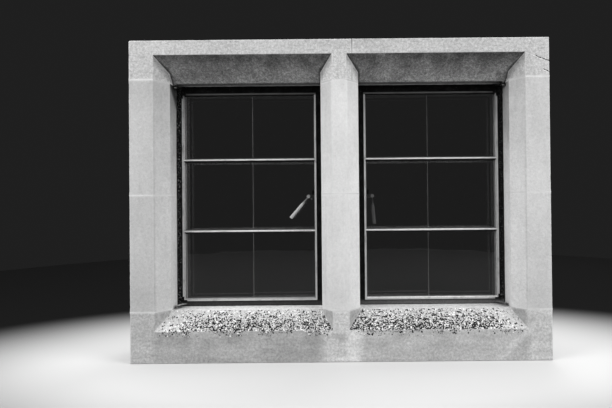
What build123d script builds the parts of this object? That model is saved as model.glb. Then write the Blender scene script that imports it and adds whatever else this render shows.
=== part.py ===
from build123d import *
from math import cos, radians, sin
import os

# A stone surround with a mullion between two lights. Each light holds a steel casement in a
# fixed steel frame, with a sliding glazing behind it on the room side.
# Lengths are in millimetres. X runs along the surround, Z is up, and Y is the depth behind
# the outside face of the stone. The finished pieces are moved so that Y is zero at mid depth.
# An inset is a distance in from the stone reveals of a light, on all four sides of it.

# Stone surround
LIGHT_WIDTH = 608.0
LIGHT_HEIGHT = 922.0
STONE_DEPTH = 230.0
MULLION_FACE = 58.0
JAMB_FACE = 95.0
SPLAY_WIDTH = 47.2
SPLAY_DEPTH = 54.0
SILL_FACE = 126.0
SILL_SLOPE_RISE = 68.0
SILL_SLOPE_DEPTH = 60.0
HEAD_FACE = 58.0
HEAD_SPLAY_RISE = 94.0
HEAD_SPLAY_DEPTH = 83.0

# Joints between the stones
MORTAR = 5.0
STOOL_RISE = 4.0
MIDDLE_BED_RISE = 462.5
HEAD_STUB = 7.0
HEAD_JOINT_OFFSET = 51.0

# Fixed steel frame, a Z section with its front flange towards the stone
FRAME_SETBACK = 128.0
STEEL = 3.0
FRAME_GAP = 2.0
FRAME_DEPTH = 25.0
FRAME_WEB_INSET = 21.5
FRAME_STOP = 5.0
HEAD_DROP = 8.5
HEAD_GAP = 4.0
BEAD_LAP = 0.5
BEAD_PROJECTION = 3.0
BEAD_LIP = 0.5
LUG_REACH = 25.0
LUG_WIDTH = 20.0
LUG_THICKNESS = 4.0
LUG_SETBACK = 10.0
LUG_END_DISTANCE = 150.0

# Opening casement, a Z section with its front flange over the fixed frame
FACE_GAP = 0.5
WEB_GAP = 2.5
CASEMENT_DEPTH = 25.0
CASEMENT_OVERLAP = 1.0
GLASS_REBATE = 3.0
LOWER_BAR_RISE = 312.0
UPPER_BAR_RISE = 610.0
BAR_FLANGE = 20.0
BAR_SETBACK = 1.5
GLASS = 3.0
GLASS_CLEARANCE = 1.0
PUTTY_BED = 1.0
PUTTY_SETBACK = 2.5
PUTTY_LIP = 0.5

# Projecting hinges at the top and bottom of each outer stile
PIN_INSET = 12.0
PIN_PROJECTION = 45.0
PIN_DIAMETER = 6.0
PIN_HEAD_DIAMETER = 10.0
PIN_HEAD = 2.5
PIN_CLEARANCE = 0.05
EYE_RADIUS = 7.0
HINGE_PLATE = 4.0
HINGE_GAP = 0.3
BRACKET_RISE = 6.0
BRACKET_TAB = 32.0
ARM_TAB_WIDTH = 18.0
ARM_TAB_MARGIN = 0.5
ARM_STILE_TAB = 44.0

# Cockspur handle on each inner stile
HANDLE_INSET = 58.5
HANDLE_RISE = 456.0
HANDLE_PLATE = 3.0
HANDLE_PLATE_HEIGHT = 14.0
HANDLE_PLATE_WIDTH = 6.0
HANDLE_STOP_GAP = 1.0
HUB_RADIUS = 8.5
HUB_LENGTH = 7.0
HUB_GAP = 0.3
NOSE_REACH = 20.0
NOSE_HEIGHT = 5.0
NOSE_THICKNESS = 4.0
LEVER_LENGTH = 119.0
LEVER_NECK_END = 26.0
LEVER_NECK_WIDTH = 6.0
LEVER_BLADE_START = 48.0
LEVER_BLADE_WIDTH = 12.0
LEVER_TIP_WIDTH = 14.0
LEVER_NECK_THICKNESS = 5.0
LEVER_TIP_THICKNESS = 8.0
LEVER_CRANK = 3.0
LEVER_TURN = {"left": 40.0, "right": 4.0}
STRIKER_THICKNESS = 2.5
STRIKER_HEIGHT = 24.0
STRIKER_REACH = 14.0
STRIKER_RELEASE_TURN = 4.0
STRIKER_CLEARANCE = 0.5
STRIKER_SCREW = 3.0
STRIKER_SCREW_HEAD = 5.5
STRIKER_SCREW_HEAD_HEIGHT = 1.4
STRIKER_SCREW_PITCH = 12.0

# Sliding glazing on the room side
TRACK_SETBACK = 186.0
TRACK_DEPTH = 26.0
TRACK_SIGHT = 16.0
GROOVE_DEPTH = 9.0
GROOVE_PITCH = 9.0
SLIDING_GLASS = 4.0
SLIDING_GLASS_PLAY = 0.5
SLIDING_GLASS_LIFT = 2.0
SLIDING_GLASS_OVERLAP = 6.0

# Sizes that follow
SIDES = {"left": -1, "right": 1}
CUT = 1.0
MULLION_HALF = MULLION_FACE / 2 + SPLAY_WIDTH
LIGHT_CENTRE = MULLION_HALF + LIGHT_WIDTH / 2
HALF_WIDTH = MULLION_HALF + LIGHT_WIDTH + SPLAY_WIDTH + JAMB_FACE
LEDGE = SILL_FACE + SILL_SLOPE_RISE
SOFFIT = LEDGE + LIGHT_HEIGHT
FRAME_HEAD = SOFFIT - HEAD_DROP
HEIGHT = SOFFIT + HEAD_SPLAY_RISE + HEAD_FACE
MIDDLE_BED = LEDGE + MIDDLE_BED_RISE
STOP_INSET = FRAME_WEB_INSET + STEEL + FRAME_STOP
CASEMENT_INSET = FRAME_WEB_INSET + STEEL - CASEMENT_OVERLAP
CASEMENT_WEB_INSET = FRAME_WEB_INSET + STEEL + WEB_GAP
REBATE_INSET = CASEMENT_WEB_INSET + STEEL
SIGHT_INSET = REBATE_INSET + GLASS_REBATE
CASEMENT_FRONT = -FACE_GAP - STEEL
CASEMENT_BACK = CASEMENT_FRONT + CASEMENT_DEPTH
GLASS_BACK = CASEMENT_BACK - STEEL - PUTTY_BED
PIN_DEPTH = FRAME_SETBACK - PIN_PROJECTION
PIVOT_HEIGHT = LEDGE + HANDLE_RISE
HUB_FRONT = CASEMENT_BACK + HANDLE_PLATE + HUB_GAP
HUB_BACK = HUB_FRONT + HUB_LENGTH
STRIKER_BACK = FRAME_DEPTH + STRIKER_THICKNESS


def block(x_limits, depth_limits, z_limits):
    """A box between three pairs of limits, each pair in either order."""
    pairs = [sorted(pair) for pair in (x_limits, depth_limits, z_limits)]
    corner = [low for low, high in pairs]
    size = [high - low for low, high in pairs]
    return Pos(*corner) * Box(*size, align=(Align.MIN, Align.MIN, Align.MIN))


def upright(radius, x, depth, z_limits):
    """A round bar along Z."""
    low, high = sorted(z_limits)
    bar = Cylinder(radius, high - low, align=(Align.CENTER, Align.CENTER, Align.MIN))
    return Pos(x, depth, low) * bar


def spindle(radius, x, z, depth_limits):
    """A round bar along Y."""
    near, far = sorted(depth_limits)
    bar = Cylinder(radius, far - near, align=(Align.CENTER, Align.CENTER, Align.MIN))
    return Pos(x, far, z) * Rot(90, 0, 0) * bar


def plate_along_y(outline, depth_limits):
    """An outline in X and Z, made solid between two depths."""
    near, far = sorted(depth_limits)
    return Pos(0, far, 0) * extrude(Plane.XZ * outline, far - near, dir=(0, -1, 0))


def rectangle_wire(x_limits, depth, z_limits):
    """A rectangle at one depth."""
    (left, right), (low, high) = x_limits, z_limits
    corners = [(left, low), (right, low), (right, high), (left, high)]
    return Wire.make_polygon([(x, depth, z) for x, z in corners], close=True)


def from_jamb(side, inset):
    """The X of a point at an inset from the jamb of a light."""
    return SIDES[side] * (MULLION_HALF + LIGHT_WIDTH - inset)


def from_mullion(side, inset):
    """The X of a point at an inset from the mullion."""
    return SIDES[side] * (MULLION_HALF + inset)


def from_end(end, inset, top=FRAME_HEAD):
    """The Z of a point at an inset from the ledge, or down from the frame's head or another top."""
    return LEDGE + inset if end == "bottom" else top - inset


def light_block(side, inset, near, far, top=FRAME_HEAD):
    """A box that fills a light at an inset, between depths behind the frame's face."""
    return block(
        (from_jamb(side, inset), from_mullion(side, inset)),
        (FRAME_SETBACK + near, FRAME_SETBACK + far),
        (from_end("bottom", inset), from_end("top", inset, top)),
    )


def ring(side, outer_inset, inner_inset, near, far, top=FRAME_HEAD):
    """A rectangular frame in a light, between two insets and two depths."""
    opening = light_block(side, inner_inset, near - CUT, far + CUT, top)
    return light_block(side, outer_inset, near, far, top) - opening


def light_void(side):
    """The splayed opening of one light, cut right through the stone."""
    half = LIGHT_WIDTH / 2
    mouth = half + SPLAY_WIDTH
    back = STONE_DEPTH + CUT
    plan = [
        (-mouth, -CUT), (-mouth, 0), (-half, SPLAY_DEPTH), (-half, back),
        (half, back), (half, SPLAY_DEPTH), (mouth, 0), (mouth, -CUT),
    ]
    brow = SOFFIT + HEAD_SPLAY_RISE
    section = [
        (-CUT, SILL_FACE), (0, SILL_FACE), (SILL_SLOPE_DEPTH, LEDGE), (back, LEDGE),
        (back, SOFFIT), (HEAD_SPLAY_DEPTH, SOFFIT), (0, brow), (-CUT, brow),
    ]
    upright_hole = extrude(Polygon(*plan, align=None), HEIGHT, dir=(0, 0, 1))
    level_hole = extrude(Plane.YZ * Polygon(*section, align=None), 2 * mouth, dir=(1, 0, 0))
    void = upright_hole & (Pos(-mouth, 0, 0) * level_hole)
    return Pos(SIDES[side] * LIGHT_CENTRE, 0, 0) * void


def frame_lugs(side):
    """Flat lugs that tie the fixed frame into the stone, two at each reveal."""
    depths = (FRAME_SETBACK + LUG_SETBACK, FRAME_SETBACK + LUG_SETBACK + LUG_THICKNESS)
    lugs = []
    for end in ("bottom", "top"):
        middle = from_end(end, LUG_END_DISTANCE)
        heights = (middle - LUG_WIDTH / 2, middle + LUG_WIDTH / 2)
        for place in (from_jamb, from_mullion):
            reach = (place(side, -LUG_REACH), place(side, FRAME_WEB_INSET))
            lugs.append(block(reach, depths, heights))
    return Compound(children=lugs)


def surround():
    """All the stone and mortar as one mass, before the joints divide it."""
    mass = block((-HALF_WIDTH, HALF_WIDTH), (0, STONE_DEPTH), (0, HEIGHT))
    for side in SIDES:
        mass -= light_void(side)
        for lug in frame_lugs(side).children:
            mass -= lug
    return mass


def zone(x_limits, z_limits):
    """A box over the full depth of the stone."""
    return block(x_limits, (0, STONE_DEPTH), z_limits)


def stones(mass):
    """The stones and the mortar between them, by name."""
    columns = {
        "jamb_left": (-HALF_WIDTH, -LIGHT_CENTRE),
        "mullion": (-LIGHT_CENTRE, LIGHT_CENTRE),
        "jamb_right": (LIGHT_CENTRE, HALF_WIDTH),
    }
    full_width = (-HALF_WIDTH, HALF_WIDTH)
    stool = LEDGE + STOOL_RISE
    middle = (MIDDLE_BED, MIDDLE_BED + MORTAR)
    beds = {"lower": [], "middle": [], "head": []}
    pieces = {"sill": mass & zone(full_width, (0, stool))}
    head_zone = zone(full_width, (SOFFIT, HEIGHT))
    for name, width in columns.items():
        springing = SOFFIT
        if name == "mullion":
            springing = SOFFIT - HEAD_STUB
            head_zone += zone((-MULLION_HALF, MULLION_HALF), (springing, SOFFIT))
        pieces[name + "_lower"] = mass & zone(width, (stool + MORTAR, middle[0]))
        pieces[name + "_upper"] = mass & zone(width, (middle[1], springing - MORTAR))
        beds["lower"].append(mass & zone(width, (stool, stool + MORTAR)))
        beds["middle"].append(mass & zone(width, middle))
        beds["head"].append(mass & zone(width, (springing - MORTAR, springing)))
    for level, solids in beds.items():
        pieces["mortar_" + level + "_beds"] = Compound(children=solids)
    head = mass & head_zone
    joint = (HEAD_JOINT_OFFSET - MORTAR / 2, HEAD_JOINT_OFFSET + MORTAR / 2)
    pieces["head_left"] = head & zone((-HALF_WIDTH, joint[0]), (0, HEIGHT))
    pieces["mortar_head_joint"] = head & zone(joint, (0, HEIGHT))
    pieces["head_right"] = head & zone((joint[1], HALF_WIDTH), (0, HEIGHT))
    return pieces


def screw_places(side):
    """Where the two striker screws stand, as X and Z."""
    x = from_mullion(side, (FRAME_WEB_INSET + STEEL + STOP_INSET) / 2)
    middle = striker_bottom() + STRIKER_HEIGHT / 2
    offset = STRIKER_SCREW_PITCH / 2
    return [(x, middle - offset), (x, middle + offset)]


def screw_shanks(side):
    """The shanks of the striker screws."""
    depths = (FRAME_SETBACK + FRAME_DEPTH - STEEL, FRAME_SETBACK + STRIKER_BACK)
    return [spindle(STRIKER_SCREW / 2, x, z, depths) for x, z in screw_places(side)]


def front_flange(side):
    """The fixed frame's front plate, out to the stone and taller over the head."""
    return block(
        (from_jamb(side, FRAME_GAP), from_mullion(side, FRAME_GAP)),
        (FRAME_SETBACK, FRAME_SETBACK + STEEL),
        (from_end("bottom", FRAME_GAP), SOFFIT - HEAD_GAP),
    )


def fixed_frame(side):
    """The fixed frame: flange to the stone, web, and stop behind the casement."""
    web_end = FRAME_WEB_INSET + STEEL
    frame = front_flange(side) - light_block(side, web_end, -CUT, STEEL + CUT)
    frame += ring(side, FRAME_WEB_INSET, web_end, 0, FRAME_DEPTH)
    frame += ring(side, FRAME_WEB_INSET, STOP_INSET, FRAME_DEPTH - STEEL, FRAME_DEPTH)
    for shank in screw_shanks(side):
        frame -= shank
    return frame


def frame_bedding(side):
    """The mortar behind and over the fixed frame, with its sloped bead in front."""
    bed = light_block(side, 0, 0, FRAME_DEPTH, SOFFIT)
    bed -= light_block(side, FRAME_WEB_INSET, -CUT, FRAME_DEPTH + CUT)
    bed -= front_flange(side)
    mouth = rectangle_wire(
        (from_jamb(side, BEAD_LIP), from_mullion(side, BEAD_LIP)),
        FRAME_SETBACK - BEAD_PROJECTION,
        (from_end("bottom", BEAD_LIP), SOFFIT - BEAD_LIP),
    )
    edge = FRAME_GAP + BEAD_LAP
    foot = rectangle_wire(
        (from_jamb(side, edge), from_mullion(side, edge)),
        FRAME_SETBACK,
        (from_end("bottom", edge), SOFFIT - HEAD_GAP - BEAD_LAP),
    )
    bead = light_block(side, 0, -BEAD_PROJECTION, 0, SOFFIT) - Solid.make_loft([mouth, foot], True)
    bed += bead
    for lug in frame_lugs(side).children:
        bed -= lug
    return bed


def casement_frame(side):
    """The opening frame: flange over the fixed frame, web, and glass flange."""
    frame = ring(side, CASEMENT_INSET, REBATE_INSET, CASEMENT_FRONT, -FACE_GAP)
    frame += ring(side, CASEMENT_WEB_INSET, REBATE_INSET, CASEMENT_FRONT, CASEMENT_BACK)
    glass_flange = (CASEMENT_BACK - STEEL, CASEMENT_BACK)
    frame += ring(side, CASEMENT_WEB_INSET, SIGHT_INSET, *glass_flange)
    return frame


def glazing_bar(side, rise):
    """A T bar across the casement, with its stem towards the outside."""
    middle = LEDGE + rise
    back = FRAME_SETBACK + CASEMENT_BACK
    stem = block(
        (from_jamb(side, REBATE_INSET), from_mullion(side, REBATE_INSET)),
        (FRAME_SETBACK + CASEMENT_FRONT + BAR_SETBACK, back - STEEL),
        (middle - STEEL / 2, middle + STEEL / 2),
    )
    flange = block(
        (from_jamb(side, SIGHT_INSET), from_mullion(side, SIGHT_INSET)),
        (back - STEEL, back),
        (middle - BAR_FLANGE / 2, middle + BAR_FLANGE / 2),
    )
    return stem + flange


def panes():
    """For each pane, the limits of its rebate and of the glass in sight, in Z."""
    half_stem = STEEL / 2
    half_flange = BAR_FLANGE / 2
    lower, upper = LEDGE + LOWER_BAR_RISE, LEDGE + UPPER_BAR_RISE
    return {
        "bottom": (
            (from_end("bottom", REBATE_INSET), lower - half_stem),
            (from_end("bottom", SIGHT_INSET), lower - half_flange),
        ),
        "middle": (
            (lower + half_stem, upper - half_stem),
            (lower + half_flange, upper - half_flange),
        ),
        "top": (
            (upper + half_stem, from_end("top", REBATE_INSET)),
            (upper + half_flange, from_end("top", SIGHT_INSET)),
        ),
    }


def glass_pane(side, pane):
    """One pane of glass, clear of the steel on every side."""
    (low, high), _ = panes()[pane]
    inset = REBATE_INSET + GLASS_CLEARANCE
    return block(
        (from_jamb(side, inset), from_mullion(side, inset)),
        (FRAME_SETBACK + GLASS_BACK - GLASS, FRAME_SETBACK + GLASS_BACK),
        (low + GLASS_CLEARANCE, high - GLASS_CLEARANCE),
    )


def putty(side, pane):
    """The putty round one pane, under it, round its edge and sloped in front of it."""
    (low, high), sight = panes()[pane]
    front = FRAME_SETBACK + CASEMENT_FRONT + PUTTY_SETBACK
    back = FRAME_SETBACK + CASEMENT_BACK - STEEL
    rebate = (from_jamb(side, REBATE_INSET), from_mullion(side, REBATE_INSET))
    in_sight = (from_jamb(side, SIGHT_INSET), from_mullion(side, SIGHT_INSET))
    lip = REBATE_INSET + PUTTY_LIP
    mouth = rectangle_wire(
        (from_jamb(side, lip), from_mullion(side, lip)),
        front,
        (low + PUTTY_LIP, high - PUTTY_LIP),
    )
    foot = rectangle_wire(in_sight, FRAME_SETBACK + GLASS_BACK - GLASS, sight)
    fill = block(rebate, (front, back), (low, high))
    fill -= Solid.make_loft([mouth, foot], True)
    fill -= block(in_sight, (FRAME_SETBACK + GLASS_BACK - CUT, back + CUT), sight)
    return fill - glass_pane(side, pane)


def hinge_levels(end, start, finish):
    """The Z limits of a piece of a hinge, which is set out from the ledge or the soffit."""
    return from_end(end, start, SOFFIT), from_end(end, finish, SOFFIT)


def hinge_pin(side, end):
    """A pin with two heads, fast in the bracket."""
    x = from_jamb(side, PIN_INSET)
    foot = BRACKET_RISE
    head = BRACKET_RISE + 2 * (HINGE_PLATE + HINGE_GAP)
    pin = upright(PIN_DIAMETER / 2, x, PIN_DEPTH, hinge_levels(end, foot, head))
    for levels in ((foot - PIN_HEAD, foot), (head, head + PIN_HEAD)):
        pin += upright(PIN_HEAD_DIAMETER / 2, x, PIN_DEPTH, hinge_levels(end, *levels))
    return pin


def hinge_bracket(side, end):
    """The fixed half of a hinge: a tab on the frame and a lug out to the pin."""
    x = from_jamb(side, PIN_INSET)
    levels = hinge_levels(end, BRACKET_RISE, BRACKET_RISE + HINGE_PLATE)
    across = (x - EYE_RADIUS, x + EYE_RADIUS)
    bracket = upright(EYE_RADIUS, x, PIN_DEPTH, levels)
    bracket += block(across, (PIN_DEPTH, FRAME_SETBACK), levels)
    tab = hinge_levels(end, BRACKET_RISE, BRACKET_RISE + BRACKET_TAB)
    bracket += block(across, (FRAME_SETBACK - STEEL, FRAME_SETBACK), tab)
    return bracket - hinge_pin(side, end)


def hinge_arm(side, end):
    """The moving half of a hinge: an arm from the pin to two tabs, on the rail and on the stile."""
    x = from_jamb(side, PIN_INSET)
    foot = BRACKET_RISE + HINGE_PLATE + HINGE_GAP
    low, high = sorted(hinge_levels(end, foot, foot + HINGE_PLATE))
    start = from_end(end, foot, SOFFIT)
    face = FRAME_SETBACK + CASEMENT_FRONT
    tab_inset = CASEMENT_INSET + ARM_TAB_MARGIN
    tab_x = (from_jamb(side, tab_inset), from_jamb(side, tab_inset + ARM_TAB_WIDTH))
    stile_x = (from_jamb(side, tab_inset), from_jamb(side, REBATE_INSET - ARM_TAB_MARGIN))
    eye = Pos(x, PIN_DEPTH) * Circle(EYE_RADIUS)
    root = Pos(sum(tab_x) / 2, face - STEEL / 2) * Rectangle(ARM_TAB_WIDTH, STEEL)
    outline = make_hull(eye.edges() + root.edges())
    arm = Pos(0, 0, low) * extrude(outline, high - low, dir=(0, 0, 1))
    arm += block(tab_x, (face - STEEL, face), (start, from_end(end, REBATE_INSET)))
    arm += block(stile_x, (face - STEEL, face), (start, from_end(end, ARM_STILE_TAB)))
    return arm - upright(PIN_DIAMETER / 2 + PIN_CLEARANCE, x, PIN_DEPTH, (low, high))


def pivot_x(side):
    """The X of the handle's pivot."""
    return from_mullion(side, HANDLE_INSET)


def handle_plate(side):
    """The plate brazed to the casement's stile, with a round end at the pivot."""
    inset = STOP_INSET + HANDLE_STOP_GAP
    edges = sorted((from_mullion(side, inset), from_mullion(side, inset + HANDLE_PLATE_WIDTH)))
    foot = Rectangle(HANDLE_PLATE_WIDTH, HANDLE_PLATE_HEIGHT)
    foot = Pos(sum(edges) / 2, PIVOT_HEIGHT) * foot
    boss = Pos(pivot_x(side), PIVOT_HEIGHT) * Circle(HUB_RADIUS)
    outline = make_hull(foot.edges() + boss.edges())
    back = FRAME_SETBACK + CASEMENT_BACK
    plate = plate_along_y(outline, (back, back + HANDLE_PLATE))
    hole = (back, back + HANDLE_PLATE)
    return plate - spindle(PIN_DIAMETER / 2, pivot_x(side), PIVOT_HEIGHT, hole)


def handle_pivot(side):
    """The pivot riveted into the plate, with a head behind the lever."""
    start = FRAME_SETBACK + CASEMENT_BACK
    seat = FRAME_SETBACK + HUB_BACK + HUB_GAP
    pivot = spindle(PIN_DIAMETER / 2, pivot_x(side), PIVOT_HEIGHT, (start, seat))
    head = (seat, seat + PIN_HEAD)
    return pivot + spindle(PIN_HEAD_DIAMETER / 2, pivot_x(side), PIVOT_HEIGHT, head)


def handle_lever(side):
    """The lever with its hub and cockspur nose, turned as it was left."""
    towards_mullion = -SIDES[side]
    hub = spindle(HUB_RADIUS, 0, 0, (HUB_FRONT, HUB_BACK))
    nose_front = STRIKER_BACK + HUB_GAP
    lever = hub + block(
        (0, towards_mullion * NOSE_REACH),
        (nose_front, nose_front + NOSE_THICKNESS),
        (-NOSE_HEIGHT / 2, NOSE_HEIGHT / 2),
    )
    neck_depth = HUB_BACK - LEVER_NECK_THICKNESS / 2
    stations = (
        (HUB_RADIUS / 2, neck_depth, LEVER_NECK_WIDTH, LEVER_NECK_THICKNESS),
        (LEVER_NECK_END, neck_depth, LEVER_NECK_WIDTH, LEVER_NECK_THICKNESS),
        (LEVER_BLADE_START, neck_depth, LEVER_BLADE_WIDTH, LEVER_NECK_THICKNESS),
        (LEVER_LENGTH, neck_depth + LEVER_CRANK, LEVER_TIP_WIDTH, LEVER_TIP_THICKNESS),
    )
    sections = [
        Pos(0, depth, -distance) * Ellipse(width / 2, thickness / 2)
        for distance, depth, width, thickness in stations
    ]
    for start, finish in zip(sections, sections[1:]):
        lever += loft([start, finish], ruled=True)
    bore = (HUB_FRONT, HUB_BACK)
    lever -= spindle(PIN_DIAMETER / 2 + PIN_CLEARANCE, 0, 0, bore)
    turned = Rot(0, -SIDES[side] * LEVER_TURN[side], 0) * lever
    return Pos(pivot_x(side), FRAME_SETBACK, PIVOT_HEIGHT) * turned


def striker_bottom():
    """The striker's lower edge, which clears the nose once the lever has its release turn."""
    turn = radians(STRIKER_RELEASE_TURN)
    edge_distance = HANDLE_INSET - STOP_INSET - STRIKER_REACH
    nose_top = NOSE_HEIGHT / 2 * cos(turn) - edge_distance * sin(turn)
    return PIVOT_HEIGHT + nose_top + STRIKER_CLEARANCE


def striker_plate(side):
    """The striker on the fixed frame that the nose turns up behind."""
    low = striker_bottom()
    plate = block(
        (from_mullion(side, FRAME_WEB_INSET), from_mullion(side, STOP_INSET + STRIKER_REACH)),
        (FRAME_SETBACK + FRAME_DEPTH, FRAME_SETBACK + STRIKER_BACK),
        (low, low + STRIKER_HEIGHT),
    )
    for shank in screw_shanks(side):
        plate -= shank
    return plate


def striker_screws(side):
    """Two round-headed screws through the striker into the fixed frame."""
    back = FRAME_SETBACK + STRIKER_BACK
    head = (back, back + STRIKER_SCREW_HEAD_HEIGHT)
    screws = []
    for shank, (x, z) in zip(screw_shanks(side), screw_places(side)):
        screws.append(shank + spindle(STRIKER_SCREW_HEAD / 2, x, z, head))
    return Compound(children=screws)


def groove(track):
    """The near and far depth of one groove of the track, behind the frame's face."""
    middle = TRACK_SETBACK - FRAME_SETBACK + TRACK_DEPTH / 2
    middle += GROOVE_PITCH / 2 if track == "back" else -GROOVE_PITCH / 2
    half = SLIDING_GLASS / 2 + SLIDING_GLASS_PLAY
    return middle - half, middle + half


def sliding_track(side):
    """The frame of the sliding glazing, with two grooves all the way round."""
    near = TRACK_SETBACK - FRAME_SETBACK
    frame = ring(side, 0, TRACK_SIGHT, near, near + TRACK_DEPTH, SOFFIT)
    bottom = TRACK_SIGHT - GROOVE_DEPTH
    for track in ("front", "back"):
        frame -= ring(side, bottom, TRACK_SIGHT + CUT, *groove(track), SOFFIT)
    return frame


def sliding_pane(side, track):
    """A sliding pane. The front one stands at the jamb and the back one at the mullion."""
    edge_inset = TRACK_SIGHT - GROOVE_DEPTH + SLIDING_GLASS_PLAY
    centre = SIDES[side] * LIGHT_CENTRE
    half_lap = SLIDING_GLASS_OVERLAP / 2
    if track == "front":
        width = (from_jamb(side, edge_inset), centre - SIDES[side] * half_lap)
    else:
        width = (from_mullion(side, edge_inset), centre + SIDES[side] * half_lap)
    near, far = groove(track)
    depths = (near + SLIDING_GLASS_PLAY, far - SLIDING_GLASS_PLAY)
    top = from_end("top", edge_inset + SLIDING_GLASS_LIFT, SOFFIT)
    return block(
        width,
        [FRAME_SETBACK + depth for depth in depths],
        (from_end("bottom", edge_inset), top),
    )


def light_pieces(side):
    """Every piece of metal, glass and putty in one light, by name."""
    pieces = {
        "fixed_frame": fixed_frame(side),
        "frame_bedding": frame_bedding(side),
        "frame_lugs": frame_lugs(side),
        "casement_frame": casement_frame(side),
        "glazing_bar_lower": glazing_bar(side, LOWER_BAR_RISE),
        "glazing_bar_upper": glazing_bar(side, UPPER_BAR_RISE),
        "putty": Compound(children=[putty(side, pane) for pane in panes()]),
        "hinge_pins": Compound(children=[hinge_pin(side, end) for end in ("bottom", "top")]),
        "handle_plate": handle_plate(side),
        "handle_pivot": handle_pivot(side),
        "handle_lever": handle_lever(side),
        "striker_plate": striker_plate(side),
        "striker_screws": striker_screws(side),
        "sliding_track": sliding_track(side),
        "sliding_pane_front": sliding_pane(side, "front"),
        "sliding_pane_back": sliding_pane(side, "back"),
    }
    for pane in panes():
        pieces["glass_" + pane] = glass_pane(side, pane)
    for end in ("bottom", "top"):
        pieces["hinge_bracket_" + end] = hinge_bracket(side, end)
        pieces["hinge_arm_" + end] = hinge_arm(side, end)
    return {name + "_" + side: piece for name, piece in pieces.items()}


def main():
    os.makedirs("parts", exist_ok=True)
    pieces = stones(surround())
    for side in SIDES:
        pieces.update(light_pieces(side))
    to_middle = Pos(0, -STONE_DEPTH / 2, 0)
    for name, piece in pieces.items():
        export_step(to_middle * piece, "parts/" + name + ".step")


main()
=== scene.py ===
import math

import bmesh
import bpy
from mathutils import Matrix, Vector, noise


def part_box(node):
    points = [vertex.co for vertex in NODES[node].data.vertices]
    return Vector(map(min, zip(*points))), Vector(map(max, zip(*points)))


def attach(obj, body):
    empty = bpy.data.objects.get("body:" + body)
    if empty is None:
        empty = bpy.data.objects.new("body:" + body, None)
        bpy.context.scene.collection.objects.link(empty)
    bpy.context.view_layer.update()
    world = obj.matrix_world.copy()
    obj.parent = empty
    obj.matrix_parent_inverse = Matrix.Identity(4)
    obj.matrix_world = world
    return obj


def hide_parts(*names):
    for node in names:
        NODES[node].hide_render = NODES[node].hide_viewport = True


# A stone window of two lights with a mullion. Each light holds a black steel frame, a pale steel casement
# hung at the jamb, and a pair of sliding panes behind it. Metres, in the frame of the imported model: +X to
# the right, -Y to the outside.

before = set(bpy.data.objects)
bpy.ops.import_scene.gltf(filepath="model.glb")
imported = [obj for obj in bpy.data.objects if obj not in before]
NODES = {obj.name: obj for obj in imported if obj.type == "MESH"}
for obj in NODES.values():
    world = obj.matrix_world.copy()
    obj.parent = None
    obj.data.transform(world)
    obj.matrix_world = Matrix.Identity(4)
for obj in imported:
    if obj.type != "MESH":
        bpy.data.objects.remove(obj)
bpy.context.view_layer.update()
SIDES = ("left", "right")


def box(node):
    """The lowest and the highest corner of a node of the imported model."""
    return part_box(node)


# Places of the main forms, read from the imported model. The lights lie at the same distance from the middle
FACE_Y = box("sill")[0].y
FRAME_Y = box("fixed_frame_left")[0].y
OUTER_X = box("sill")[1].x
TOP_Z = box("head_left")[1].z
LIGHT_INNER, LIGHT_OUTER = (corner.x for corner in box("frame_bedding_right"))
LIGHT_FOOT, LIGHT_TOP = (corner.z for corner in box("frame_bedding_left"))
CASEMENT_FOOT, CASEMENT_TOP = (corner.z for corner in box("casement_frame_left"))
PIVOT = (box("handle_pivot_right")[0] + box("handle_pivot_right")[1]) / 2

# Sizes of the dressed stone that the materials and the wear follow
SPLAY_WIDTH = 0.0472
SPLAY_DEPTH = 0.054
SILL_FACE = 0.126
SLOPE_RISE = 0.068
SLOPE_DEPTH = 0.060
HEAD_SPLAY_RISE = 0.094
HEAD_SPLAY_DEPTH = 0.083
MORTAR = 0.005
BROW = LIGHT_TOP + HEAD_SPLAY_RISE


# Shader nodes

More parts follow.
